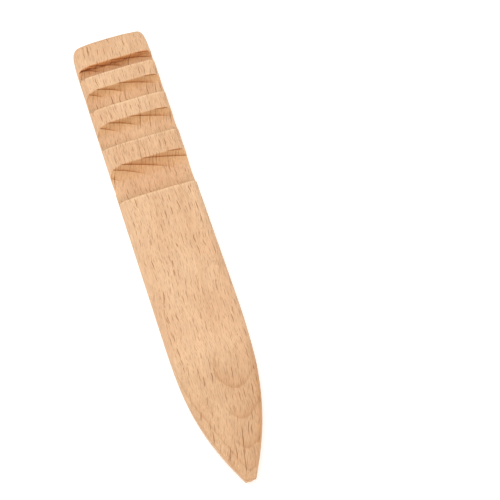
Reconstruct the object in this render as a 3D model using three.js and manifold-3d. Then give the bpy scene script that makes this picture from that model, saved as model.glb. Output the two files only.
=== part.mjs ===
// Wood edge slicker: a hand burnisher for leather edges, cut from one bar of beech.
//
// Frame: millimetres, +Z up. The origin is the centre of the underside's bounding
// rectangle. +Y points to the square end, which carries the four burnishing
// grooves, and -Y points to the creasing tip. +X is the right-hand side.

import * as THREE from 'three';
import * as BufferGeometryUtils from 'three/addons/utils/BufferGeometryUtils.js';
import Module from 'manifold-3d';

// ---------------------------------------------------------------- dimensions

const LENGTH = 152.0;        // square end to blunt tip
const WIDTH = 24.2;          // across the parallel body
const THICKNESS = 10.0;      // of the parallel body

const LONG_EDGE_R = 3.8;     // round-over along the four long edges
const END_EDGE_R = 1.5;      // round-over of the square end, seen from the side
const END_CORNER_R = 2.8;    // corners of the square end, seen from above
const END_BOW = 0.45;        // the square end is slightly convex
const BOW_REACH = 6;         // the bow fades out over this distance from the end
const TIP_CORNER_R = 0.35;   // corners of the blunt tip, seen from above
const TIP_NOSE_R = 1.5;      // nose of the tip, seen from the side

// Tables along the bar. The first column is the distance from the square end.

// Half width: the sides run parallel, then close in a pointed arch.
const PARALLEL_END = 92;
const HALF_WIDTH = [
  [0, WIDTH / 2], [PARALLEL_END, WIDTH / 2], [102, 12.08], [110, 11.95], [118, 11.54],
  [126, 10.53], [134, 8.78], [141.7, 6.15], [145.5, 4.55], [149.3, 2.75], [LENGTH, 1.4],
];
// Half thickness at the centre line: the tip is thinned from both faces.
const HALF_THICKNESS = [
  [0, THICKNESS / 2], [104, THICKNESS / 2], [114, 4.9], [124, 4.6], [134, 4.1],
  [143, 3.35], [LENGTH, 2.4],
];
// Crown of each face: how far it falls from its centre line to its edge.
const CROWN = [
  [0, 0], [102, 0], [112, 0.3], [124, 1.1], [134, 1.6], [143, 1.45], [148, 1.0],
  [LENGTH, 0.45],
];
// Round-over radius of the long edges.
const EDGE_RADIUS = [
  [0, LONG_EDGE_R], [104, LONG_EDGE_R], [114, 3.4], [124, 2.7], [134, 2.0], [143, 1.45],
  [LENGTH, 0.85],
];
// The long-edge radius is held below these shares of the section it rounds.
const MAX_SHARE_OF_HALF_WIDTH = 0.7;
const MAX_SHARE_OF_SIDE = 0.8;

// Grooves run straight across the bar. Each has a half-round floor with a short
// straight wall above it. start is the near edge's distance from the square end.
const GROOVES = [
  { start: 8.85, width: 3.7, depth: 4.2 },
  { start: 17.95, width: 6.9, depth: 4.0 },
  { start: 30.75, width: 8.4, depth: 4.45 },
  { start: 46.3, width: 12.1, depth: 6.25 },
];
const CUTTER_CLEAR = 4.0;    // the cutters stand this far past the bar

// Facets.
const GROOVE_ARC_STEPS = 28; // over each half-round floor
const CROWN_STEPS = 9;       // from the centre line to the start of the round-over
const CORNER_STEPS = 7;      // on each long-edge round-over

// -------------------------------------------------------------- curve helpers

// Monotone cubic through [x, y] knots, returned as a function of x.
function curve(knots) {
  const last = knots.length - 1;
  const spans = [];
  const slopes = [];
  for (let i = 0; i < last; i++) {
    spans.push(knots[i + 1][0] - knots[i][0]);
    slopes.push((knots[i + 1][1] - knots[i][1]) / spans[i]);
  }

  // A knot where the slope is zero or changes sign keeps a level tangent.
  const tangents = new Array(knots.length).fill(0);
  tangents[0] = slopes[0];
  tangents[last] = slopes[last - 1];
  for (let i = 1; i < last; i++) {
    if (slopes[i - 1] * slopes[i] <= 0) continue;
    const weightBefore = 2 * spans[i] + spans[i - 1];
    const weightAfter = spans[i] + 2 * spans[i - 1];
    tangents[i] = (weightBefore + weightAfter)
      / (weightBefore / slopes[i - 1] + weightAfter / slopes[i]);
  }

  return (x) => {
    if (x <= knots[0][0]) return knots[0][1];
    if (x >= knots[last][0]) return knots[last][1];
    let i = 0;
    while (x > knots[i + 1][0]) i++;
    const t = (x - knots[i][0]) / spans[i];
    const t2 = t * t;
    const t3 = t2 * t;
    return (2 * t3 - 3 * t2 + 1) * knots[i][1]
      + (t3 - 2 * t2 + t) * spans[i] * tangents[i]
      + (3 * t2 - 2 * t3) * knots[i + 1][1]
      + (t3 - t2) * spans[i] * tangents[i + 1];
  };
}

const halfWidthAt = curve(HALF_WIDTH);
const halfThicknessAt = curve(HALF_THICKNESS);
const crownAt = curve(CROWN);
const edgeRadiusAt = curve(EDGE_RADIUS);

// How much an end rounded to a radius has drawn in at a distance from that end.
function drawIn(radius, distance) {
  if (distance >= radius) return 0;
  return radius - Math.sqrt(radius * radius - (radius - distance) ** 2);
}

// ------------------------------------------------------------------------ bar

// The upper right quarter of a section, from the top centre to the right side.
// The face is a parabola offset outward by the edge radius, so that it runs
// smoothly into the round-over.
function quarterSection(halfWidth, halfThickness, crown, radius) {
  const inner = halfWidth - radius;
  const points = [];
  for (let i = 0; i <= CROWN_STEPS; i++) {
    const x = inner * i / CROWN_STEPS;
    const z = halfThickness - radius - crown * (x / inner) ** 2;
    const slope = 2 * crown * x / (inner * inner);
    const normalLength = Math.hypot(slope, 1);
    points.push([x + radius * slope / normalLength, z + radius / normalLength]);
  }
  const cornerZ = halfThickness - radius - crown;
  const startAngle = Math.atan2(1, 2 * crown / inner);
  for (let i = 1; i <= CORNER_STEPS; i++) {
    const angle = startAngle * (1 - i / CORNER_STEPS);
    points.push([inner + radius * Math.cos(angle), cornerZ + radius * Math.sin(angle)]);
  }
  return points;
}

// The bar's closed outline at a distance from the square end, as [x, z] pairs about
// mid-thickness. It starts at the top centre and goes down the right side first.
function section(distance) {
  const fromTip = LENGTH - distance;
  const halfWidth = halfWidthAt(distance)
    - drawIn(END_CORNER_R, distance) - drawIn(TIP_CORNER_R, fromTip);
  const halfThickness = halfThicknessAt(distance)
    - drawIn(END_EDGE_R, distance) - drawIn(TIP_NOSE_R, fromTip);
  const crown = crownAt(distance);
  const radius = Math.min(
    edgeRadiusAt(distance),
    halfWidth * MAX_SHARE_OF_HALF_WIDTH,
    (halfThickness - crown) * MAX_SHARE_OF_SIDE,
  );

  const upper = quarterSection(halfWidth, halfThickness, crown, radius);
  const lower = upper.map(([x, z]) => [x, -z]).reverse();
  const right = [...upper, ...lower];
  // The two centre points belong to the right half only.
  const left = right.slice(1, -1).map(([x, z]) => [-x, z]).reverse();
  return [...right, ...left];
}

// Distances from the square end at which sections are taken: close together
// where an end is rounded, far apart along the straight body.
function barStations() {
  const stations = [
    0, 0.12, 0.42, 0.88, END_EDGE_R, 2.1, END_CORNER_R, BOW_REACH, 45, PARALLEL_END,
  ];
  for (let distance = 98; distance < 128; distance += 4) stations.push(distance);
  for (let distance = 128; distance < 150; distance += 2.5) stations.push(distance);
  for (const fromTip of [2.3, TIP_NOSE_R, 1.1, 0.72, TIP_CORNER_R, 0.12, 0]) {
    stations.push(LENGTH - fromTip);
  }
  return stations;
}

// Triangles of a flat cap, as a strip zigzagging between the right and left halves
// of a ring. They face +Y.
function capTriangles(firstVertex, ringSize) {
  const triangles = [];
  let right = firstVertex;
  let left = firstVertex + ringSize - 1;
  while (right + 1 < left) {
    triangles.push([right, right + 1, left]);
    right++;
    if (right + 1 < left) {
      triangles.push([right, left - 1, left]);
      left--;
    }
  }
  return triangles;
}

// The bar without its grooves: sections joined from the square end to the tip.
function barGeometry() {
  const stations = barStations();
  const rings = stations.map(section);
  const ringSize = rings[0].length;

  const position = [];
  stations.forEach((distance, s) => {
    const bowShare = Math.max(0, 1 - distance / BOW_REACH);
    for (const [x, z] of rings[s]) {
      const bow = END_BOW * (2 * x / WIDTH) * (2 * x / WIDTH) * bowShare;
      position.push(x, LENGTH / 2 - distance - bow, z + THICKNESS / 2);
    }
  });

  const index = [];
  const lastRing = (rings.length - 1) * ringSize;
  for (let ring = 0; ring < lastRing; ring += ringSize) {
    for (let i = 0; i < ringSize; i++) {
      const here = ring + i;
      const beside = ring + (i + 1) % ringSize;
      const hereNext = here + ringSize;
      const besideNext = beside + ringSize;
      index.push(here, hereNext, beside, beside, hereNext, besideNext);
    }
  }
  for (const triangle of capTriangles(0, ringSize)) index.push(...triangle);
  // The tip's cap is turned over to face -Y.
  for (const [a, b, c] of capTriangles(lastRing, ringSize)) index.push(a, c, b);

  const geometry = new THREE.BufferGeometry();
  geometry.setAttribute('position', new THREE.Float32BufferAttribute(position, 3));
  geometry.setIndex(index);
  return geometry;
}

// -------------------------------------------------------------------- grooves

// A groove cutter: the groove's profile, drawn in the Y-Z plane and run along X.
function grooveGeometry({ start, width, depth }) {
  const radius = width / 2;
  const top = THICKNESS + CUTTER_CLEAR;
  const arcZ = THICKNESS - depth + radius;
  const shape = new THREE.Shape();
  shape.moveTo(-radius, top);
  shape.lineTo(-radius, arcZ);
  for (let i = 1; i < GROOVE_ARC_STEPS; i++) {
    const angle = Math.PI + Math.PI * i / GROOVE_ARC_STEPS;
    shape.lineTo(radius * Math.cos(angle), arcZ + radius * Math.sin(angle));
  }
  shape.lineTo(radius, arcZ);
  shape.lineTo(radius, top);
  shape.closePath();

  const run = WIDTH + 2 * CUTTER_CLEAR;
  const geometry = new THREE.ExtrudeGeometry(shape, {
    depth: run, bevelEnabled: false, steps: 1,
  });
  // Shape x -> Y, shape y -> Z, extrusion -> X.
  geometry.applyMatrix4(new THREE.Matrix4().makeBasis(
    new THREE.Vector3(0, 1, 0), new THREE.Vector3(0, 0, 1), new THREE.Vector3(1, 0, 0)));
  geometry.translate(-run / 2, LENGTH / 2 - start - radius, 0);
  return geometry;
}

// --------------------------------------------------------------- boolean cuts

const MERGE_TOLERANCE = 1e-5;

const wasm = await Module();
wasm.setup();

// Only positions are kept, so that vertices merge across normal and UV seams.
function toSolid(geometry) {
  const bare = new THREE.BufferGeometry();
  bare.setAttribute('position', geometry.getAttribute('position'));
  bare.setIndex(geometry.index);
  const merged = BufferGeometryUtils.mergeVertices(bare, MERGE_TOLERANCE);
  return new wasm.Manifold(new wasm.Mesh({
    numProp: 3,
    vertProperties: new Float32Array(merged.attributes.position.array),
    triVerts: new Uint32Array(merged.index.array),
  }));
}

function toGeometry(solid) {
  const mesh = solid.getMesh();
  const position = new Float32Array(mesh.vertProperties);
  const geometry = new THREE.BufferGeometry();
  geometry.setAttribute('position', new THREE.BufferAttribute(position, 3));
  geometry.setIndex(new THREE.BufferAttribute(new Uint32Array(mesh.triVerts), 1));
  geometry.computeVertexNormals();
  return geometry;
}

// ---------------------------------------------------------------------- model

function beechMaterial() {
  return new THREE.MeshStandardMaterial({
    name: 'bare_beech',
    color: new THREE.Color(0.80, 0.60, 0.40), // linear red, green, blue
    roughness: 0.62,
    metalness: 0.0,
  });
}

function slickerBody() {
  let solid = toSolid(barGeometry());
  for (const groove of GROOVES) solid = solid.subtract(toSolid(grooveGeometry(groove)));
  const mesh = new THREE.Mesh(toGeometry(solid), beechMaterial());
  mesh.name = 'slicker_body';
  return mesh;
}

const slicker = new THREE.Group();
slicker.name = 'wood_edge_slicker';
slicker.add(slickerBody());

export default slicker;
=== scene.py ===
# A slicker: a bar of bare beech with four grooves cut across its upper face and a tapering tip.
# It lies flat along Y with its underside on z = 0. The square end is at +Y and the blunt tip
# at -Y. Left is -X and right is +X.
import math
from collections import namedtuple
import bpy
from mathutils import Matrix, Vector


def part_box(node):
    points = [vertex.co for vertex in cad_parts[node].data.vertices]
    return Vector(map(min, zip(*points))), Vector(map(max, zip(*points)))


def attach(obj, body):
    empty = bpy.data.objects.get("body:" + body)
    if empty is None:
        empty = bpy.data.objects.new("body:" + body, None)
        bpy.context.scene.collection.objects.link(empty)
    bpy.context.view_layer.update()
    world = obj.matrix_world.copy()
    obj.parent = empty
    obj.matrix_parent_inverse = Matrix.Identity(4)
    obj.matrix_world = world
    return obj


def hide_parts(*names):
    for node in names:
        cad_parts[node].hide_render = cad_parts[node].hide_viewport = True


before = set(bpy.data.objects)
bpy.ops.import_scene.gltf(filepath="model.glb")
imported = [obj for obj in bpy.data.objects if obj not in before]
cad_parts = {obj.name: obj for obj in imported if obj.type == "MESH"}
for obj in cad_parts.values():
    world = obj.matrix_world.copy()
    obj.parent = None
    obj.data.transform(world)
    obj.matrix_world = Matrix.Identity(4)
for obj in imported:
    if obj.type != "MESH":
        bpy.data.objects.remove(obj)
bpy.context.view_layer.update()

from types import SimpleNamespace

import bpy
import numpy as np
from mathutils import Matrix, Vector

NODE = "slicker_body"
BODY = "root"
MM = 0.001

# ------------------------------------------------------------------ dimensions
# In millimetres. "along" is always the distance from the square end.

box_lo, box_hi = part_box(NODE)
LENGTH = (box_hi.y - box_lo.y) / MM
WIDTH = (box_hi.x - box_lo.x) / MM
THICK = (box_hi.z - box_lo.z) / MM
Y_END = box_hi.y / MM              # square end
Y_TIP = box_lo.y / MM              # blunt tip
HALF_W = WIDTH / 2
HALF_T = THICK / 2

EDGE_RADIUS = 3.8                  # round-over of the long edges
# Pairs of (left, right) values.
EDGE_SHARES = (0.98, 0.74)         # share of EDGE_RADIUS: fuller on the left
CORNER_RADII = (2.3, 2.1)          # plan corners of the square end
EARLY_FALLS = (0.34, 0.26)         # how far the upper face falls before its round-overs
EARLY_FALL_BAND = (7.0, 2.6)       # where it falls, measured in from the side

END_EDGE_RADIUS = 1.5
END_BOW = 0.45
END_BLEND = 1.75                   # softness between the square end and its neighbours
TIP_NOSE_RADIUS = 1.5              # round-over of the blunt tip, seen from the side
TIP_INSET = 0.22
TIP_SKEW = 0.07                    # slope of the tip's cut across the bar
TIP_BLEND = 0.5
PARALLEL_FADE = (96, 124)          # where the parallel body gives way to the tip

# start, width, depth
GROOVES = [(8.85, 3.7, 4.2), (17.95, 6.9, 4.0), (30.75, 8.4, 4.45), (46.3, 12.1, 6.25)]

# Stations: distance along, value.
HALF_WIDTH_AT = [
    (0, HALF_W), (92, HALF_W), (102, 12.08), (110, 11.95), (118, 11.54), (126, 10.53),
    (134, 8.78), (141.7, 6.15), (145.5, 4.55), (149.3, 2.75), (LENGTH, 1.4)]
HALF_THICK_AT = [
    (0, HALF_T), (104, HALF_T), (114, 4.9), (124, 4.6), (134, 4.1), (143, 3.35), (LENGTH, 2.4)]
# fall of the faces from the middle to the edges
CROWN_AT = [
    (0, 0), (102, 0), (112, 0.3), (124, 1.1), (134, 1.6), (143, 1.45), (148, 1.0),
    (LENGTH, 0.45)]
# the tip was shaped by hand and runs a little to the left
LEAN_AT = [
    (0, 0), (98, 0), (104, 0.03), (110, 0.12), (118, 0.23), (126, 0.41), (134, 0.61),
    (142, 0.75), (150, 0.83), (LENGTH, 0.85)]
EDGE_RADIUS_AT = [
    (0, EDGE_RADIUS), (104, EDGE_RADIUS), (114, 3.4), (124, 2.7), (134, 2.0), (143, 1.45),
    (LENGTH, 0.85)]


def curve(stations):
    """Monotone cubic through the stations, for arrays."""
    xs, ys = np.array(stations, float).T
    gaps = np.diff(xs)
    slopes = np.diff(ys) / gaps
    tangents = np.zeros(len(xs))
    tangents[0], tangents[-1] = slopes[0], slopes[-1]
    for i in range(1, len(xs) - 1):
        if slopes[i - 1] * slopes[i] > 0:
            before = 2 * gaps[i] + gaps[i - 1]
            after = gaps[i] + 2 * gaps[i - 1]
            tangents[i] = (before + after) / (before / slopes[i - 1] + after / slopes[i])

    def value_at(x):
        x = np.clip(np.asarray(x, float), xs[0], xs[-1])
        i = np.clip(np.searchsorted(xs, x, side="right") - 1, 0, len(gaps) - 1)
        t = (x - xs[i]) / gaps[i]
        t2, t3 = t * t, t * t * t
        return ((2 * t3 - 3 * t2 + 1) * ys[i] + (t3 - 2 * t2 + t) * gaps[i] * tangents[i]
                + (3 * t2 - 2 * t3) * ys[i + 1] + (t3 - t2) * gaps[i] * tangents[i + 1])
    return value_at


half_width_at = curve(HALF_WIDTH_AT)
half_thick_at = curve(HALF_THICK_AT)
crown_at = curve(CROWN_AT)
lean_at = curve(LEAN_AT)
edge_radius_at = curve(EDGE_RADIUS_AT)

# A groove's section is a half circle about (y, arc_z) with straight walls above it.
Cut = namedtuple("Cut", "y radius arc_z")
CUTS = [Cut(Y_END - start - width / 2, width / 2, THICK - depth + width / 2)
        for start, width, depth in GROOVES]


# ------------------------------------------------------- the body as a distance
def smooth_step(start, end, x):
    t = np.clip((x - start) / (end - start), 0, 1)
    return t * t * (3 - 2 * t)


def smooth_max(a, b, blend):
    near = np.maximum(blend - np.abs(a - b), 0) / blend
    return np.maximum(a, b) + near * near * blend / 4


def by_side(x, pair):
    """The left or right value of a pair."""
    return np.where(x < 0, *pair)


def parallel_share(along):
    return 1 - smooth_step(*PARALLEL_FADE, along)


def edge_share(x, along):
    """Share of the full edge radius: it differs by side on the parallel body only."""
    return 1 + (by_side(x, EDGE_SHARES) - 1) * parallel_share(along)


def early_fall(x):
    """How far the upper face has fallen at x before its round-overs, on the parallel body."""
    outer, inner = EARLY_FALL_BAND
    return by_side(x, EARLY_FALLS) * smooth_step(HALF_W - outer, HALF_W - inner, np.abs(x))


def waves(x, y, z, seed, size):
    """Smooth repeatable unevenness from 0 to 1, with features about size mm across."""
    rng = np.random.RandomState(seed)
    total = np.zeros(np.shape(x))
    for _ in range(7):
        way = rng.normal(size=3)
        way /= np.linalg.norm(way)
        pitch = 2 * math.pi / (size * rng.uniform(0.7, 1.7))
        distance = way[0] * x + way[1] * y + way[2] * z
        total = total + np.sin(pitch * distance + rng.uniform(0, 6.28))
    return 0.5 + 0.5 * np.tanh(total / 2.6)


def unevenness(points):
    """The hand-made unevenness at each point. It varies too slowly to change while a point
    settles, so it is worked out once."""
    x, y, z = points.T
    tip = smooth_step(100, 128, Y_END - y)
    # edges are fuller on the left where a land meets the +Y side of a groove
    fuller = sum(np.exp(-(np.maximum(y - cut.y - cut.radius, 0) / 1.8) ** 2)
                 * (y > cut.y) * (y < cut.y + cut.radius + 5) for cut in CUTS)
    fuller = fuller * smooth_step(3, -3, x)
    # and crisper on the upper face where a land meets the -Y side of one
    crisp = sum(np.exp(-((cut.y - cut.radius - y) / 2.2) ** 2) for cut in CUTS)
    crisp_amount = 0.36 - 0.09 * smooth_step(-4, 4, x)
    return {
        "edge": ((0.92 + 0.16 * waves(x * 0.05, y, z * 0.05, seed=3, size=38.0) + 0.20 * fuller)
                 * (1 - crisp_amount * crisp * smooth_step(-1, 2, z - HALF_T))),
        "skin": ((0.035 + 0.05 * tip) * waves(x, y, z, seed=7, size=24.0)
                 + (0.012 + 0.03 * tip) * waves(x, y, z, seed=11, size=8.0)),
        # sideways wander of each groove, and the softness of its edges
        "wander": [0.05 * (waves(x, y * 0, z * 0, seed=20 + i, size=17.0) - 0.5)
                   for i in range(len(CUTS))],
        "ease": [0.16 + 0.14 * waves(x, y, z, seed=40 + i, size=9.0)
                 + 0.24 * smooth_step(-0.5, 0.5, y - cut.y) for i, cut in enumerate(CUTS)],
    }


def rounded_corner(a, b, radius):
    """Distance from a corner whose faces lie a radius beyond a = 0 and b = 0."""
    return (np.hypot(np.maximum(a, 0), np.maximum(b, 0))
            + np.minimum(np.maximum(a, b), 0) - radius)


def bar(x, y, z, uneven):
    """Distance-like function of the bar without its grooves, negative inside."""
    along = Y_END - y
    x = x + lean_at(along)
    half_width = half_width_at(along)
    half_thick = half_thick_at(along)
    crown = crown_at(along)
    # the round-overs were sanded by hand: their radius wanders a little along the bar
    radius = edge_radius_at(along) * uneven["edge"] * edge_share(x, along)
    radius = np.minimum(radius, np.minimum(half_thick - crown - 0.5, half_width * 0.7))
    off_x = np.abs(x)
    off_z = np.abs(z - HALF_T)
    share = np.minimum(off_x / (half_width - radius), 1)
    crown_fall = crown * share * share
    # the underside falls half as far as the upper face
    side_fall = early_fall(x) * parallel_share(along) * np.where(z > HALF_T, 1.0, 0.5)
    shape = rounded_corner(off_x - (half_width - radius),
                           off_z - (half_thick - radius - crown_fall - side_fall), radius)

    # the square end, bowed, with rounded corners, blended into the faces around it
    corner = by_side(x, CORNER_RADII)
    into_corner = np.clip(off_x - (HALF_W - corner), 0, corner * 0.999)
    root = np.sqrt(corner * corner - into_corner * into_corner)
    end = corner - root + END_BOW * (x / HALF_W) ** 2 - along
    end = end * np.maximum(root / corner, 0.25)
    shape = np.where(along < 12, smooth_max(shape, end, END_BLEND), shape)

    # blunt end of the tip: cut nearly square across, and rounded over seen from the side
    tip = Y_TIP + TIP_INSET - y + TIP_SKEW * x
    nose = rounded_corner(tip + TIP_NOSE_RADIUS,
                          off_z - (half_thick - crown_fall) + TIP_NOSE_RADIUS, TIP_NOSE_RADIUS)
    blunt = np.maximum(smooth_max(shape, tip, TIP_BLEND), nose)
    return np.where(along > LENGTH - 4, blunt, shape)


def body(x, y, z, uneven):
    """Distance-like function of the whole body, negative inside."""
    shape = bar(x, y, z, uneven)
    for cut, wander, ease in zip(CUTS, uneven["wander"], uneven["ease"]):
        off_y = y - cut.y - wander
        groove = np.where(z > cut.arc_z, np.abs(off_y), np.hypot(off_y, z - cut.arc_z))
        shape = smooth_max(shape, -(groove - cut.radius), ease)
    return shape + uneven["skin"]


def gradient(points, uneven, reach=0.004):
    slopes = [body(*(points + offset).T, uneven) - body(*(points - offset).T, uneven)
              for offset in np.eye(3) * reach]
    return np.stack(slopes, 1) / (2 * reach)


def settle(points, rounds=6):
    """Moves points onto the body's surface."""
    uneven = unevenness(points)
    for _ in range(rounds):
        distance = body(*points.T, uneven)
        slope = gradient(points, uneven)
        steepness = np.maximum((slope * slope).sum(1), 0.05)
        points = points - np.clip(distance / steepness, -0.25, 0.25)[:, None] * slope
    return points


# ------------------------------------------------------------ columns of the grid
# A column is (kind, side, place): "flat" columns run from -1 to 1 across a face, "round" ones
# are placed by their angle round a long edge. The upper face has all of them, left to right.
ROUND_COUNT, FLAT_COUNT, SIDE_COUNT = 12, 40, 15
LOW_ANGLE_SHARE = 0.8
angles = np.linspace(0.86 * math.pi / 2, 0, ROUND_COUNT + 1)[:-1]
TOP_COLUMNS = ([("round", -1, angle) for angle in angles]
               + [("flat", -1 if place < 0 else 1, place)
                  for place in np.linspace(-1, 1, FLAT_COUNT + 1)]
               + [("round", 1, angle) for angle in angles[::-1]])
LOW_COLUMNS = [(kind, side, place * LOW_ANGLE_SHARE if kind == "round" else place)
               for kind, side, place in TOP_COLUMNS]
TOP_COUNT = len(TOP_COLUMNS)
# Shares of the way down each side, closer together under the top edge.
SIDE_SHARES = np.linspace(0, 1, SIDE_COUNT + 2)[1:-1] ** 1.2

# How far the width draws in at the two ends of the starting grid.
END_PLAN_RADIUS, TIP_PLAN_RADIUS = 2.8, 0.35


def draw_in(radius, distance):
    """How far a rounded edge has drawn in at a distance from the end."""
    distance = min(max(distance, 0.0), radius)
    return radius - math.sqrt(max(0.0, radius * radius - (radius - distance) ** 2))


def section_point(column, along, sign):
    """A point of the plain bar on its upper (+1) or lower (-1) face."""
    kind, side, place = column
    to_tip = LENGTH - along
    half_width = (float(half_width_at(along)) - draw_in(END_PLAN_RADIUS, along)
                  - draw_in(TIP_PLAN_RADIUS, to_tip))
    half_thick = (float(half_thick_at(along)) - draw_in(END_EDGE_RADIUS, along)
                  - draw_in(TIP_NOSE_RADIUS, to_tip))
    crown = float(crown_at(along))
    radius = min(float(edge_radius_at(along)) * float(edge_share(side, along)),
                 half_width * 0.7, (half_thick - crown) * 0.8)
    inner = half_width - radius
    if kind == "flat":
        tilt = 2 * crown * place / inner
        slant = math.hypot(tilt, 1)
        x = inner * place + radius * tilt / slant
        height = half_thick - radius - crown * place * place + radius / slant
    else:
        start = math.pi / 2 - math.atan2(1, 2 * crown / inner)
        angle = start + (math.pi / 2 - start) * (place / (math.pi / 2))
        x = side * (inner + radius * math.sin(angle))
        height = half_thick - radius - crown + radius * math.cos(angle)
    return x - float(lean_at(along)), Y_END - along, sign * height + HALF_T


def column_x(column):
    """A column's x on the parallel body."""
    kind, side, place = column
    radius = EDGE_RADIUS * by_side(side, EDGE_SHARES)
    if kind == "flat":
        return (HALF_W - radius) * place
    return side * (HALF_W - radius + radius * math.sin(place))


def land_height(column):
    """A column's height on the upper face of the parallel body."""
    kind, side, place = column
    height = THICK - float(early_fall(column_x(column)))
    if kind == "flat":
        return height
    return height - EDGE_RADIUS * by_side(side, EDGE_SHARES) * (1 - math.cos(place))


def half_opening(cut, height):
    """Half the groove's width at a height."""
    if height >= cut.arc_z:
        return cut.radius
    return math.sqrt(max(cut.radius ** 2 - (cut.arc_z - height) ** 2, 0.01))


def groove_point(cut, height, share):
    """y and z a share of the way down, round and up a groove that opens at height."""
    wall = max(0.0, height - cut.arc_z)
    start = 0.0 if height >= cut.arc_z else math.asin((cut.arc_z - height) / cut.radius)
    arc = cut.radius * (math.pi - 2 * start)
    path = share * (2 * wall + arc)
    if path < wall:
        return cut.y + cut.radius, height - path
    if path > wall + arc:
        return cut.y - cut.radius, cut.arc_z + (path - wall - arc)
    angle = start + (path - wall) / cut.radius
    return cut.y + cut.radius * math.cos(angle), cut.arc_z - cut.radius * math.sin(angle)


def path_length(cut):
    return 2 * (THICK - cut.arc_z) + math.pi * cut.radius


def wall_spread(cut):
    """Length of underside that the rows of one groove wall are spread over."""
    return 0.35 + 0.3 * (THICK - cut.arc_z)


def groove_bottom(cut, share):
    """Where a groove row meets the underside, so that side faces stay unfolded."""
    wall = THICK - cut.arc_z
    arc = math.pi * cut.radius
    path = share * path_length(cut)
    if path < wall:
        return cut.y + cut.radius + wall_spread(cut) * (1 - path / wall)
    if path > wall + arc:
        return cut.y - cut.radius - wall_spread(cut) * ((path - wall - arc) / wall)
    return cut.y + cut.radius * (1 - 2 * (path - wall) / arc)


def bottom_edge(cut, sign):
    return cut.y + sign * (cut.radius + wall_spread(cut))


# --------------------------------------------------------------- rings of the grid
# Each ring goes round the bar: upper face, right side, underside, left side.
END_ROWS = (0.0, 0.03, 0.1, 0.21, 0.36, 0.55, 0.77, 1.02, 1.3, 1.65, 2.05, 2.5, 3.0)
# distances from the tip
TIP_ROWS = (1.7, 1.45, 1.2, 0.97, 0.76, 0.58, 0.42, 0.29, 0.18, 0.10, 0.04, 0.0)
EDGE_ROWS = (0.0, 0.10, 0.22, 0.38, 0.60)      # distances from a groove's edge
ROW_PITCH = 0.42
FIRST_LAND_ROWS = 14
HANDLE_ROWS_FROM, HANDLE_ROWS_STOP = 1.05, 1.9 # after the last groove, before the tip
HANDLE_PITCH, TIPWARD_PITCH, PITCH_CHANGE = 0.62, 0.5, 120
HANDLE_FADE = 14.0                             # length over which rows straighten

HANDLE_START = GROOVES[-1][0] + GROOVES[-1][1]


def make_ring(top, low):
    def side(upper, lower):
        return [tuple(a + (b - a) * share for a, b in zip(upper, lower))
                for share in SIDE_SHARES]
    return top + side(top[-1], low[-1]) + low[::-1] + side(top[0], low[0])[::-1]


def plain_face(columns, along, sign):
    return [section_point(column, along, sign) for column in columns]


def parallel_underside(y):
    return [(column_x(column), y, THICK - land_height(column)) for column in LOW_COLUMNS]


def plain_ring(along):
    return make_ring(plain_face(TOP_COLUMNS, along, 1), plain_face(LOW_COLUMNS, along, -1))


def land_ring(index, share):
    """A ring on the land on the +Y side of groove number index."""
    cut = CUTS[index]
    top = []
    for column in TOP_COLUMNS:
        height = land_height(column)
        if index == 0:
            start = Y_END - END_ROWS[-1]
        else:
            start = CUTS[index - 1].y - half_opening(CUTS[index - 1], height)
        end = cut.y + half_opening(cut, height)
        top.append((column_x(column), start + (end - start) * share, height))
    start = Y_END - END_ROWS[-1] if index == 0 else bottom_edge(CUTS[index - 1], -1)
    end = bottom_edge(cut, 1)
    return make_ring(top, parallel_underside(start + (end - start) * share))


def groove_ring(cut, share):
    top = [(column_x(column), *groove_point(cut, land_height(column), share))
           for column in TOP_COLUMNS]
    return make_ring(top, parallel_underside(groove_bottom(cut, share)))


def handle_ring(distance):
    """A ring at a distance past the last groove. It follows the groove's edge at first."""
    cut = CUTS[-1]
    fade = max(0.0, 1 - distance / HANDLE_FADE)
    top = []
    for column in TOP_COLUMNS:
        shift = (half_opening(cut, land_height(column)) - cut.radius) * fade
        top.append(section_point(column, HANDLE_START + distance + shift, 1))
    edge_gap = (Y_END - HANDLE_START) - bottom_edge(cut, -1)
    low = plain_face(LOW_COLUMNS, HANDLE_START + distance + edge_gap * fade, -1)
    return make_ring(top, low)


def eased_shares(length, edge_rows):
    """Shares of a length, even in the middle and closer together near both edges."""
    margin = EDGE_ROWS[-1] / length
    edge = np.array(edge_rows) / length
    middle = np.linspace(margin, 1 - margin, int(length / ROW_PITCH) + 1)[1:-1]
    return np.concatenate([edge, middle, 1 - edge[::-1]])


def make_rings():
    """All rings from the square end to the tip."""
    rings = [plain_ring(along) for along in END_ROWS]
    even = np.linspace(0, 1, FIRST_LAND_ROWS + 1)[1:-1]
    rings += [land_ring(0, share) for share in 1 - (1 - even) ** 1.5]
    for i, cut in enumerate(CUTS):
        rings += [groove_ring(cut, share)
                  for share in eased_shares(path_length(cut), EDGE_ROWS)]
        if i + 1 < len(CUTS):
            after = CUTS[i + 1]
            land = (cut.y - cut.radius) - (after.y + after.radius)
            rings += [land_ring(i + 1, share) for share in eased_shares(land, EDGE_ROWS[1:])]
    rings += [handle_ring(distance) for distance in EDGE_ROWS[1:]]
    distance = HANDLE_ROWS_FROM
    while HANDLE_START + distance < LENGTH - HANDLE_ROWS_STOP:
        rings.append(handle_ring(distance))
        early = HANDLE_START + distance < PITCH_CHANGE
        distance += HANDLE_PITCH if early else TIPWARD_PITCH
    return rings + [plain_ring(LENGTH - to_tip) for to_tip in TIP_ROWS]


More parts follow.
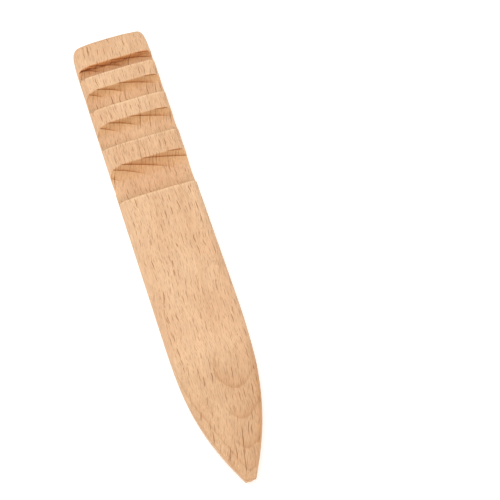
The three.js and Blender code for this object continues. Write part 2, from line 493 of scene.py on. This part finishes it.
def cap_points(ring):
    """Inner points of an end face, blended from the four sides of its ring."""
    top = ring[:TOP_COUNT]
    right = ring[TOP_COUNT:TOP_COUNT + SIDE_COUNT]
    low = ring[TOP_COUNT + SIDE_COUNT:2 * TOP_COUNT + SIDE_COUNT][::-1]
    left = ring[2 * TOP_COUNT + SIDE_COUNT:][::-1]
    inner = []
    for j, down in enumerate(SIDE_SHARES):
        for i in range(1, TOP_COUNT - 1):
            over = i / (TOP_COUNT - 1)
            upright = top[i] * (1 - down) + low[i] * down
            level = left[j] * (1 - over) + right[j] * over
            corners = ((top[0] * (1 - over) + top[-1] * over) * (1 - down)
                       + (low[0] * (1 - over) + low[-1] * over) * down)
            inner.append(upright + level - corners)
    return np.array(inner)


def build_grid():
    """Points and faces of the closed starting grid."""
    rings = make_rings()
    size = len(rings[0])
    points = np.array(rings, float).reshape(-1, 3)
    faces = []
    for row in range(len(rings) - 1):
        here, there = row * size, (row + 1) * size
        for i in range(size):
            after = (i + 1) % size
            faces.append((here + i, here + after, there + after, there + i))
    for base in (0, (len(rings) - 1) * size):
        start = len(points)
        points = np.vstack([points, cap_points(points[base:base + size])])
        low_end = 2 * TOP_COUNT + SIDE_COUNT - 1
        index = np.zeros((SIDE_COUNT + 2, TOP_COUNT), int)
        index[0] = base + np.arange(TOP_COUNT)
        index[-1] = base + np.arange(low_end, TOP_COUNT + SIDE_COUNT - 1, -1)
        index[1:-1, -1] = base + TOP_COUNT + np.arange(SIDE_COUNT)
        index[1:-1, 0] = base + np.arange(size - 1, low_end, -1)
        inner = np.arange(SIDE_COUNT * (TOP_COUNT - 2))
        index[1:-1, 1:-1] = start + inner.reshape(SIDE_COUNT, TOP_COUNT - 2)
        for j in range(SIDE_COUNT + 1):
            for i in range(TOP_COUNT - 1):
                quad = (index[j, i], index[j + 1, i], index[j + 1, i + 1], index[j, i + 1])
                faces.append(quad if base == 0 else quad[::-1])
    return points, np.array(faces)


def winding(points, quads):
    """1 where the faces turn outwards, -1 where they turn inwards."""
    a, b, c, d = (points[quads[:, k]] for k in range(4))
    volume = (np.cross(a, b) * c).sum() + (np.cross(a, c) * d).sum()
    return 1.0 if volume > 0 else -1.0


def folded(points, quads, chosen, sign):
    """Which of the chosen faces have a corner that turns inwards."""
    corners = [points[quads[chosen, k]] for k in range(4)]
    middle = sum(corners) / 4
    outward = gradient(middle, unevenness(middle))
    outward = outward / np.maximum(np.linalg.norm(outward, axis=1, keepdims=True), 1e-12) * sign
    least = np.full(len(chosen), 2.0)
    for k in range(4):
        here, after, beyond = (corners[(k + step) % 4] for step in range(3))
        normal = np.cross(after - here, beyond - after)
        size = np.maximum(np.linalg.norm(normal, axis=1), 1e-9)
        least = np.minimum(least, (normal * outward).sum(1) / size)
    return chosen[least < 0.2]


def unfold(points, quads, sign):
    """Relaxes faces that settled folded where the round-overs meet the grooves."""
    edges = np.concatenate([quads[:, [k, (k + 1) % 4]] for k in range(4)])
    edges = np.unique(np.concatenate([edges, edges[:, ::-1]]), axis=0)
    neighbours = np.maximum(np.bincount(edges[:, 0], minlength=len(points)), 1)
    chosen = np.arange(len(quads))
    for _ in range(14):
        bad = folded(points, quads, chosen, sign)
        if len(bad) == 0:
            break
        marked = np.zeros(len(points), bool)
        marked[quads[bad].ravel()] = True
        marked[edges[marked[edges[:, 0]], 1]] = True
        moving = np.where(marked)[0]
        near = edges[marked[edges[:, 0]]]
        for _ in range(3):
            total = np.stack([np.bincount(near[:, 0], weights=points[near[:, 1], k],
                                          minlength=len(points)) for k in range(3)], 1)
            mean = total[moving] / neighbours[moving][:, None]
            points[moving] = 0.4 * points[moving] + 0.6 * mean
        points[moving] = settle(points[moving], rounds=4)
        chosen = np.where(marked[quads].any(1))[0]
    return points


def add_object(name, data):
    added = bpy.data.objects.new(name, data)
    bpy.context.scene.collection.objects.link(added)
    return added


def build_slicker():
    points, quads = build_grid()
    points = settle(points)
    sign = winding(points, quads)
    points = unfold(points, quads, sign)
    points = np.clip(points, (-HALF_W, Y_TIP, 0), (HALF_W, Y_END, THICK))

    mesh = bpy.data.meshes.new("slicker_wood")
    mesh.from_pydata((points * MM).tolist(), [], quads.tolist())
    mesh.validate()
    mesh.update()
    mesh.polygons.foreach_set("use_smooth", [True] * len(mesh.polygons))
    if sign < 0:
        mesh.flip_normals()
    mesh.update()
    return add_object("slicker_wood", mesh)


# ------------------------------------------------------------- shader node helpers
class Value:
    """An output of a shader node. Arithmetic on it adds Math nodes."""

    def __init__(self, graph, node, key=0):
        self.graph, self.node, self.key = graph, node, key

    def output(self, key):
        return Value(self.graph, self.node, key)

    def split(self, kind="ShaderNodeSeparateXYZ"):
        parts = self.graph.node(kind, {0: self})
        return [parts.output(k) for k in range(3)]

    def __add__(self, other):
        return self.graph.math("ADD", self, other)

    def __sub__(self, other):
        return self.graph.math("SUBTRACT", self, other)

    def __rsub__(self, other):
        return self.graph.math("SUBTRACT", other, self)

    def __mul__(self, other):
        return self.graph.math("MULTIPLY", self, other)

    def __truediv__(self, other):
        return self.graph.math("DIVIDE", self, other)

    def __abs__(self):
        return self.graph.math("ABSOLUTE", self)

    def times(self, factor, plus):
        return self.graph.math("MULTIPLY_ADD", self, factor, plus)

    def at_least(self, other):
        return self.graph.math("MAXIMUM", self, other)

    def step(self, over, to=(0.0, 1.0)):
        """Smooth step from to[0] to to[1] as the value goes from over[0] to over[1]."""
        inputs = {"Value": self, "From Min": over[0], "From Max": over[1],
                  "To Min": to[0], "To Max": to[1]}
        return self.graph.node("ShaderNodeMapRange", inputs, interpolation_type="SMOOTHSTEP")

    def ramp(self, stops):
        """Straight lines through (position, value) stops."""
        ramp = self.graph.node("ShaderNodeValToRGB", {0: self})
        elements = ramp.node.color_ramp.elements
        while len(elements) > 1:
            elements.remove(elements[-1])
        elements[0].position = stops[0][0]
        for position, _ in stops[1:]:
            elements.new(position)
        for element, (_, level) in zip(elements, stops):
            element.color = (level, level, level, 1)
        return ramp


class Graph:
    """Builds the node tree of a material."""

    def __init__(self, material):
        material.use_nodes = True
        self.tree = material.node_tree
        self.tree.nodes.clear()

    def node(self, kind, inputs, **settings):
        node = self.tree.nodes.new(kind)
        for name, setting in settings.items():
            setattr(node, name, setting)
        for key, value in inputs.items():
            if isinstance(value, Value):
                self.tree.links.new(value.node.outputs[value.key], node.inputs[key])
            else:
                node.inputs[key].default_value = value
        return Value(self, node)

    def math(self, operation, *operands, clamp=False):
        return self.node("ShaderNodeMath", dict(enumerate(operands)),
                         operation=operation, use_clamp=clamp)

    def vector(self, x, y, z):
        return self.node("ShaderNodeCombineXYZ", {0: x, 1: y, 2: z})

    def noise(self, x, y, z, detail=2.0, rough=0.5):
        inputs = {"Vector": self.vector(x, y, z), "Scale": 1.0, "Detail": detail,
                  "Roughness": rough}
        return self.node("ShaderNodeTexNoise", inputs)

    def mix(self, amount, first, second, mode):
        mixed = self.node("ShaderNodeMix", {}, data_type="RGBA", blend_type=mode)
        for key, value in ((0, amount), (6, first), (7, second)):
            if isinstance(value, Value):
                self.tree.links.new(value.node.outputs[value.key], mixed.node.inputs[key])
            else:
                mixed.node.inputs[key].default_value = (*value, 1)
        return mixed.output(2)

    def tint(self, amount, colour, tone):
        return self.mix(amount, colour, tone, mode="MULTIPLY")

    def spindles(self, around, along, radial, cell, width, length, share):
        """Spindle-shaped sheets: narrow around the pith, pointed along the bar and deep
        radially. cell, width and length are in mm; share is the part of cells filled."""
        place = self.vector(around / cell[0], along / cell[1], radial / cell[2])
        cells = self.node("ShaderNodeTexVoronoi", {"Vector": place, "Scale": 1.0})
        chance, long_pick, wide_pick = cells.output("Color").split("ShaderNodeSeparateColor")
        offset = self.node("ShaderNodeVectorMath", {0: place, 1: cells.output("Position")},
                           operation="SUBTRACT")
        off_around, off_along, _ = offset.split()
        off_around = abs(off_around) * cell[0]
        off_along = off_along * cell[1]
        half_length = long_pick.times(length[1] - length[0], plus=length[0])
        half_width = wide_pick.times(width[1] - width[0], plus=width[0])
        reach = off_along / half_length
        taper = (1.0 - reach * reach).at_least(0.0001)
        fill = self.math("SUBTRACT", 1.0, off_around / (half_width * taper), clamp=True)
        there = self.math("LESS_THAN", chance, share)
        depth = long_pick.times(0.45, plus=0.55)
        return fill.step(over=(0.0, 0.6)) * there * depth


# ------------------------------------------------------------------ the beech
# Lengths in mm. Noise coordinates are multiplied by features per mm.
PITH_X, PITH_Z = 37.8, 123.3       # centre of the growth rings, above the bar
RINGS = [107.5, 110.1, 112.6, 115.2, 117.80, 120.07, 122.68, 124.90,
         127.6, 130.2, 132.9, 135.3, 138.2, 140.9, 143.5, 146.3]      # outer radii
# Towards the tip the layers dip, and their lines run in arches across the thinned face.
# y, dip of the layers
DIP_AT = [(-80, 6.8), (-76, 5.96), (-68, 4.26), (-60, 3.05), (-52, 1.55), (-48, 0.72),
          (-44, 0.15), (-40, 0.0), (-30, 0.0)]
# y, x of the arches' apex
APEX_AT = [(-80, 6.6), (-76, 7.3), (-68, 8.8), (-60, 9.5), (-52, 8.5), (-44, 8.0), (-30, 8.0)]

# For each groove: how strong its painted shade is, and the tone. The narrower, the darker.
GROOVE_PAINTED_SHADES = [(1.0, (0.87, 0.83, 0.79)), (0.85, (0.88, 0.84, 0.79)),
                (0.70, (0.88, 0.87, 0.85)), (0.48, (0.90, 0.90, 0.90))]


def tip_table(y, value_at, scale):
    """A curve over y from -80 to -30, as a ramp of values up to scale."""
    share = (y + 80.0) / 50.0
    return share.ramp([((k + 80) / 50, float(value_at(k)) / scale)
                       for k in range(-80, -29, 2)]) * scale


def tip_side_x(y):
    """x of the right-hand outline at y."""
    return half_width_at(Y_END - y) - lean_at(Y_END - y)


def wood_place(graph):
    """Where a point lies in the bar, in the grain and around the pith."""
    at = SimpleNamespace()
    coordinates = graph.node("ShaderNodeTexCoord", {})
    position = coordinates.output("Object").split()
    at.x, at.y, at.z = (axis * 1000.0 for axis in position)
    at.normal_x, at.normal_y, at.normal_z = coordinates.output("Normal").split()
    at.faces_y = abs(at.normal_y)
    # end grain shows less at the tip; these limits are in metres
    tip_limits = (-0.070, -0.060)
    at.end_grain = (at.faces_y.step(over=(0.35, 0.97))
                    * position[1].step(over=tip_limits, to=(0.3, 1.0)))
    at.cut_across = (at.faces_y.step(over=(0.52, 1.0))
                     * position[1].step(over=tip_limits, to=(0.2, 1.0)))

    # slow and quicker wander of the fibres
    slow = graph.noise(at.x * 0.03, at.y * 0.022, at.z * 0.03, detail=1.0) - 0.5
    at.quick = graph.noise(at.x * 0.12, at.y * 0.075, at.z * 0.12, detail=1.0) - 0.5

    # distance from the pith, bent by the dip, the arches, a tilt and the wander
    at.pith_x = at.x - PITH_X
    at.pith_z = PITH_Z - at.z
    at.true_radius = graph.math("SQRT", at.pith_x * at.pith_x + at.pith_z * at.pith_z)
    at.near_tip = at.y.step(over=(-34.0, -46.0))
    dip = tip_table(at.y, curve(DIP_AT), 8.0)
    at.across = at.x - tip_table(at.y, curve(APEX_AT), 12.0)
    arch_slope = at.y.step(over=(-72.0, -58.0), to=(0.22, 0.30))
    bulge = at.near_tip * (at.across * at.across.times(0.0176, plus=arch_slope))
    tilt = (at.y - 40.0) * at.y.step(over=(22.0, -34.0), to=(0.001, 0.017))
    wander = slow.times(0.4, plus=at.quick * 0.2) * at.near_tip.times(-0.7, plus=1.0)
    at.radius = at.true_radius + tilt + (dip + bulge) + wander

    # distance around the pith; the fibres lean slightly along the bar, and more at the tip
    away = (66.0 - at.y).at_least(0.0)
    tipward = (-38.0 - at.y).at_least(0.0)
    lean = (tipward * tipward).times(0.0028, plus=away * 0.035)
    angle = graph.math("ARCTAN2", at.pith_x, at.pith_z)
    at.around = angle.times(115.0, plus=lean) + slow.times(3.4, plus=at.quick * 1.8)
    return at


def growth_rings(graph, at):
    """Late wood, which darkens each ring outwards, and the thin dark line that ends it."""
    span, last = RINGS[-1] - RINGS[0], len(RINGS) - 1
    count = ((at.radius - RINGS[0]) / span).ramp(
        [((radius - RINGS[0]) / span, k / last) for k, radius in enumerate(RINGS)])
    phase = graph.math("FRACT", count * float(last))
    late = phase.ramp([(0.0, 0.0), (0.015, 0.0), (0.40, 0.03), (0.68, 0.20), (0.86, 0.75),
                       (0.93, 1.0), (0.985, 1.0), (1.0, 0.0)])
    line = phase.ramp([(0.0, 0.0), (0.885, 0.0), (0.925, 1.0), (0.985, 1.0), (1.0, 0.0)])
    return late, line


def rays(graph, at):
    """Thin sheets in the radial direction, spindle-shaped where a face cuts them."""
    jog = graph.noise(at.around * 0.45, at.y * 0.5, at.radius * 0.12, detail=1.0) - 0.5
    around = at.around + jog * 0.45
    large = graph.spindles(around, at.y, at.radius, cell=(2.1, 5.6, 14.0),
                           width=(0.10, 0.17), length=(1.0, 2.2), share=0.60)
    middle = graph.spindles(around + 31.7, at.y, at.radius, cell=(1.0, 3.4, 9.0),
                            width=(0.07, 0.12), length=(0.7, 1.5), share=0.66)
    small = graph.spindles(around + 77.3, at.y, at.radius, cell=(0.6, 2.0, 5.0),
                           width=(0.05, 0.09), length=(0.4, 0.9), share=0.7)
    ray = large.at_least((middle * 0.78).at_least(small * 0.56))
    # a face cut along the rays shows them as broad, faint flakes
    facing = abs((at.normal_x * at.pith_z + at.normal_z * at.pith_x) / at.true_radius)
    return ray * facing.step(over=(0.72, 0.96), to=(1.0, 0.16))


def wood_texture(graph, at):
    """Fibre streaks, rays, pores and the crack, shared by colour, roughness and relief."""
    def fibre(around, along, radial, rough):
        return graph.noise(at.around * around, at.y * along, at.radius * radial, rough=rough)

    # a hairline drying crack at the tip
    line = at.y.times(0.190, plus=12.77) + at.quick * 0.7
    ends = at.y.step(over=(-60.6, -62.6)) * at.y.step(over=(-74.6, -73.4))
    crack = abs(at.x - line).step(over=(0.16, 0.03)) * (ends * at.z.step(over=(3.0, 4.0)))
    return SimpleNamespace(
        fine=fibre(around=4.1, along=0.26, radial=1.6, rough=0.55),
        finer=fibre(around=7.0, along=0.40, radial=3.0, rough=0.6),
        broad=fibre(around=0.55, along=0.07, radial=0.4, rough=0.5),
        pores=fibre(around=11.0, along=1.3, radial=11.0, rough=0.7),
        ray=rays(graph, at),
        crack=crack)


def plain_colour(graph, at, texture):
    """Base colour with streaks and growth rings, the end grain's tone lightened as painted
    light, painted shade on the tip and a painted shade band along its right side.
    """
    cloud = graph.noise(at.x * 0.08, at.y * 0.05, at.z * 0.09)
    base = graph.mix(cloud.step(over=(0.34, 0.66)), (0.800, 0.515, 0.305),
                     (0.755, 0.460, 0.262), mode="MIX")
    streak = ((texture.fine - 0.5).times(0.50, plus=1.0)
              + (texture.broad - 0.5).times(0.18, plus=(texture.finer - 0.5) * 0.36))
    colour = graph.node("ShaderNodeVectorMath", {0: base, "Scale": streak}, operation="SCALE")

    # on the thinned face only the foot of each arch shows clearly, and both arms of the
    # outermost
    foot = abs(at.across + 5.6).step(over=(5.2, 2.3), to=(0.15, 1.0))
    arch = at.near_tip * foot.at_least(at.radius.step(over=(122.7, 123.2)))
    late, line = growth_rings(graph, at)
    late_amount = late * (at.cut_across.times(0.70, plus=0.05) + arch * 0.17)
    colour = graph.tint(late_amount, colour, (0.62, 0.31, 0.05))
    line_amount = line * (at.cut_across.times(0.86, plus=0.05) + arch * 0.05)
    colour = graph.tint(line_amount, colour, (0.50, 0.36, 0.28))
    # the end grain's own tone, lightened beyond the face grain as painted light on the groove
    # walls
    colour = graph.tint(at.end_grain, colour, (1.15, 1.12, 0.99))
    # painted shade: the thinned tip faces away from the light, so it is darkened
    colour = graph.tint(at.near_tip, colour, (0.925, 0.905, 0.87))

    # painted shade with a warm painted reflection runs along the right-hand side of the tip
    inset = tip_table(at.y, tip_side_x, HALF_W) - at.x
    ends = at.y.step(over=(-30.0, -50.0)) * at.y.step(over=(-74.0, -62.0))
    painted_shade_band = inset.step(over=(1.9, 0.5)) * ends * at.z.step(over=(4.4, 7.4))
    return graph.tint(painted_shade_band * 0.72, colour, (0.86, 0.74, 0.56))


def groove_painted_light(graph, at, colour, on_cut):
    """Painted shade in the grooves, most of all on the +Y wall and the floor, with painted cool
    shade and a painted highlight by the -Y wall.
    """
    wall_side = at.normal_y.step(over=(0.55, -0.25), to=(0.25, 1.0))
    for cut, (amount, tone) in zip(CUTS, GROOVE_PAINTED_SHADES):
        radius = cut.radius
        between = abs(at.y - cut.y).step(over=(radius + 0.12, radius - 0.1))
        inside = between * at.z.step(over=(9.85, 9.2), to=(0.0, amount)) * on_cut
        colour = graph.tint(inside * wall_side, colour, tone)
        # painted cool shade makes the -Y wall greyer, and a painted highlight lies on the arris
        # above that wall
        painted_cool_shade = inside * at.normal_y.step(over=(-0.05, 0.45))
        colour = graph.tint(painted_cool_shade, colour, (0.89, 0.95, 0.975))
        # painted highlight: a pale line on the land just past the -Y edge
        past = cut.y - at.y
        painted_edge_highlight = (past.step(over=(radius - 0.05, radius + 0.15))
               * past.step(over=(radius + 1.0, radius + 0.35)))
        colour = graph.tint(painted_edge_highlight * on_cut, colour, (1.10, 1.15, 1.17))
    return colour


def narrow_groove_painted_shade(graph, at, colour, on_cut):
    """Painted shade on the +Y wall of the narrowest groove, darkest in patches along a wavering
    band.
    """
    wall_y = Y_END - GROOVES[0][0] - 0.1
    near_wall = graph.math("SUBTRACT", 1.0, abs(at.y - wall_y) / 0.5, clamp=True)
    # a wavering level in z, with patches along it, stronger to the left
    level = graph.noise(at.x * 0.42, 3.3, at.z * 0.35, detail=3.0, rough=0.6)
    level = (level - 0.5) * 1.5 + 7.95
    patches = graph.noise(at.x * 0.55, 8.1, at.z * 0.8)
    strength = (at.x.step(over=(6.0, -3.0), to=(0.30, 0.85))
                + at.x.step(over=(-8.0, -10.0), to=(0.0, 0.35)))
    painted_shade_band = (abs(at.z - level).step(over=(0.9, 0.2))
            * patches.step(over=(0.36, 0.56), to=(0.35, 1.0)) * strength)
    # painted shade over the upper part of the wall, darker still in the band
    narrow_wall_shade = near_wall.step(over=(0.0, 0.5)) * on_cut
    colour = graph.tint(narrow_wall_shade * at.z.step(over=(7.2, 8.2)), colour, (0.97, 0.78, 0.62))
    return graph.tint(narrow_wall_shade * painted_shade_band, colour, (0.40, 0.22, 0.10))


def wood_colour(graph, at, texture):
    on_cut = abs(at.normal_x).step(over=(0.80, 0.45)) * at.z.step(over=(1.5, 3.2))
    colour = plain_colour(graph, at, texture)
    colour = groove_painted_light(graph, at, colour, on_cut)
    colour = narrow_groove_painted_shade(graph, at, colour, on_cut)
    colour = graph.tint(texture.crack * 0.8, colour, (0.42, 0.26, 0.16))
    colour = graph.tint(texture.ray * 0.95, colour, (0.44, 0.27, 0.16))
    pores = texture.pores.step(over=(0.50, 0.72)) * at.end_grain.times(0.20, plus=0.14)
    return graph.tint(pores, colour, (0.52, 0.36, 0.25))


def wood_roughness(graph, at, texture):
    rough = (at.end_grain.times(0.14, plus=0.60)
             + (texture.fine - 0.5).times(0.22, plus=texture.ray * -0.10))
    return graph.math("MINIMUM", rough.at_least(0.3), 0.95)


def wood_relief(graph, at, texture):
    relief = texture.fine * 0.45 + texture.finer * 0.35
    relief = relief - texture.ray * 0.45 - texture.crack * 1.2
    pores = texture.pores.step(over=(0.50, 0.75)) * at.end_grain.times(0.55, plus=0.30)
    # cutter marks run along the grooves, only where the surface faces along the bar
    marks = graph.noise(at.x * 0.12, at.y * 3.1, at.z * 3.1, rough=0.6)
    relief = relief - pores + (marks - 0.5) * (at.faces_y.step(over=(0.05, 0.4)) * 0.55)
    inputs = {"Strength": 0.55, "Distance": 0.00012, "Height": relief}
    return graph.node("ShaderNodeBump", inputs)


def make_beech():
    material = bpy.data.materials.new("bare_beech")
    graph = Graph(material)
    at = wood_place(graph)
    texture = wood_texture(graph, at)
    surface = graph.node("ShaderNodeBsdfPrincipled", {
        "Base Color": wood_colour(graph, at, texture),
        "Roughness": wood_roughness(graph, at, texture),
        "Normal": wood_relief(graph, at, texture),
        "Specular IOR Level": 0.35})
    graph.node("ShaderNodeOutputMaterial", {"Surface": surface})
    return material


# ------------------------------------------------------------------ the stage
def build_floor():
    half = 4.0
    mesh = bpy.data.meshes.new("floor")
    corners = [(-half, -half, 0), (half, -half, 0), (half, half, 0), (-half, half, 0)]
    mesh.from_pydata(corners, [], [(0, 1, 2, 3)])
    floor = add_object("floor", mesh)
    floor.location = (0, 0, -0.00002)
    material = bpy.data.materials.new("pale_floor")
    material.use_nodes = True
    inputs = material.node_tree.nodes["Principled BSDF"].inputs
    inputs["Base Color"].default_value = (0.93, 0.93, 0.93, 1)
    inputs["Roughness"].default_value = 0.9
    inputs["Specular IOR Level"].default_value = 0.1
    inputs["Emission Color"].default_value = (1, 1, 1, 1)
    inputs["Emission Strength"].default_value = 0.32
    mesh.materials.append(material)
    return floor


def build_world():
    """A backdrop that looks as pale as the floor, but lights the part only softly."""
    world = bpy.data.worlds.new("studio")
    bpy.context.scene.world = world
    world.use_nodes = True
    nodes, links = world.node_tree.nodes, world.node_tree.links
    background = nodes["Background"]
    background.inputs["Color"].default_value = (1.0, 0.995, 0.985, 1)
    seen = nodes.new("ShaderNodeLightPath")
    level = nodes.new("ShaderNodeMapRange")
    level.inputs["To Min"].default_value = 0.50      # as a light
    level.inputs["To Max"].default_value = 0.79      # as seen by the camera
    links.new(seen.outputs["Is Camera Ray"], level.inputs["Value"])
    links.new(level.outputs["Result"], background.inputs["Strength"])


def area_light(name, place, target, size, power, colour=(1, 1, 1)):
    light = bpy.data.lights.new(name, "AREA")
    light.shape = "SQUARE"
    light.size = size
    light.energy = power
    light.color = colour
    lamp = add_object(name, light)
    lamp.location = place
    lamp.rotation_mode = "QUATERNION"
    lamp.rotation_quaternion = (Vector(target) - Vector(place)).to_track_quat("-Z", "Y")


def build_camera():
    lens = bpy.data.cameras.new("camera")
    lens.sensor_width = 36.0
    lens.lens = 116.6
    lens.clip_start = 0.01
    lens.clip_end = 20.0
    camera = add_object("camera", lens)
    # the columns are the camera's right, up and backward directions
    turn = Matrix(((0.95176, 0.28960, -0.10141),
                   (-0.30343, 0.83914, -0.45142),
                   (-0.04564, 0.46041, 0.88653)))
    camera.rotation_mode = "QUATERNION"
    camera.rotation_quaternion = turn.to_quaternion()
    camera.location = (-0.02780, -0.22277, 0.42685)
    bpy.context.scene.camera = camera


slicker = build_slicker()
beech = make_beech()
slicker.data.materials.append(beech)
cad_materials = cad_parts[NODE].data.materials
cad_materials.clear()
cad_materials.append(beech)
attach(slicker, BODY)
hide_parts(NODE)

build_floor()
build_world()
area_light("key", place=(-0.20, 0.17, 0.85), target=(0, 0.02, 0), size=0.50, power=3.05,
           colour=(1.0, 0.99, 0.97))
area_light("front", place=(0.04, -0.41, 0.77), target=(0, 0, 0), size=0.70, power=2.9)
build_camera()

view = bpy.context.scene.view_settings
view.view_transform = "Standard"
view.look = "None"
view.exposure = 0.0
view.gamma = 1.0
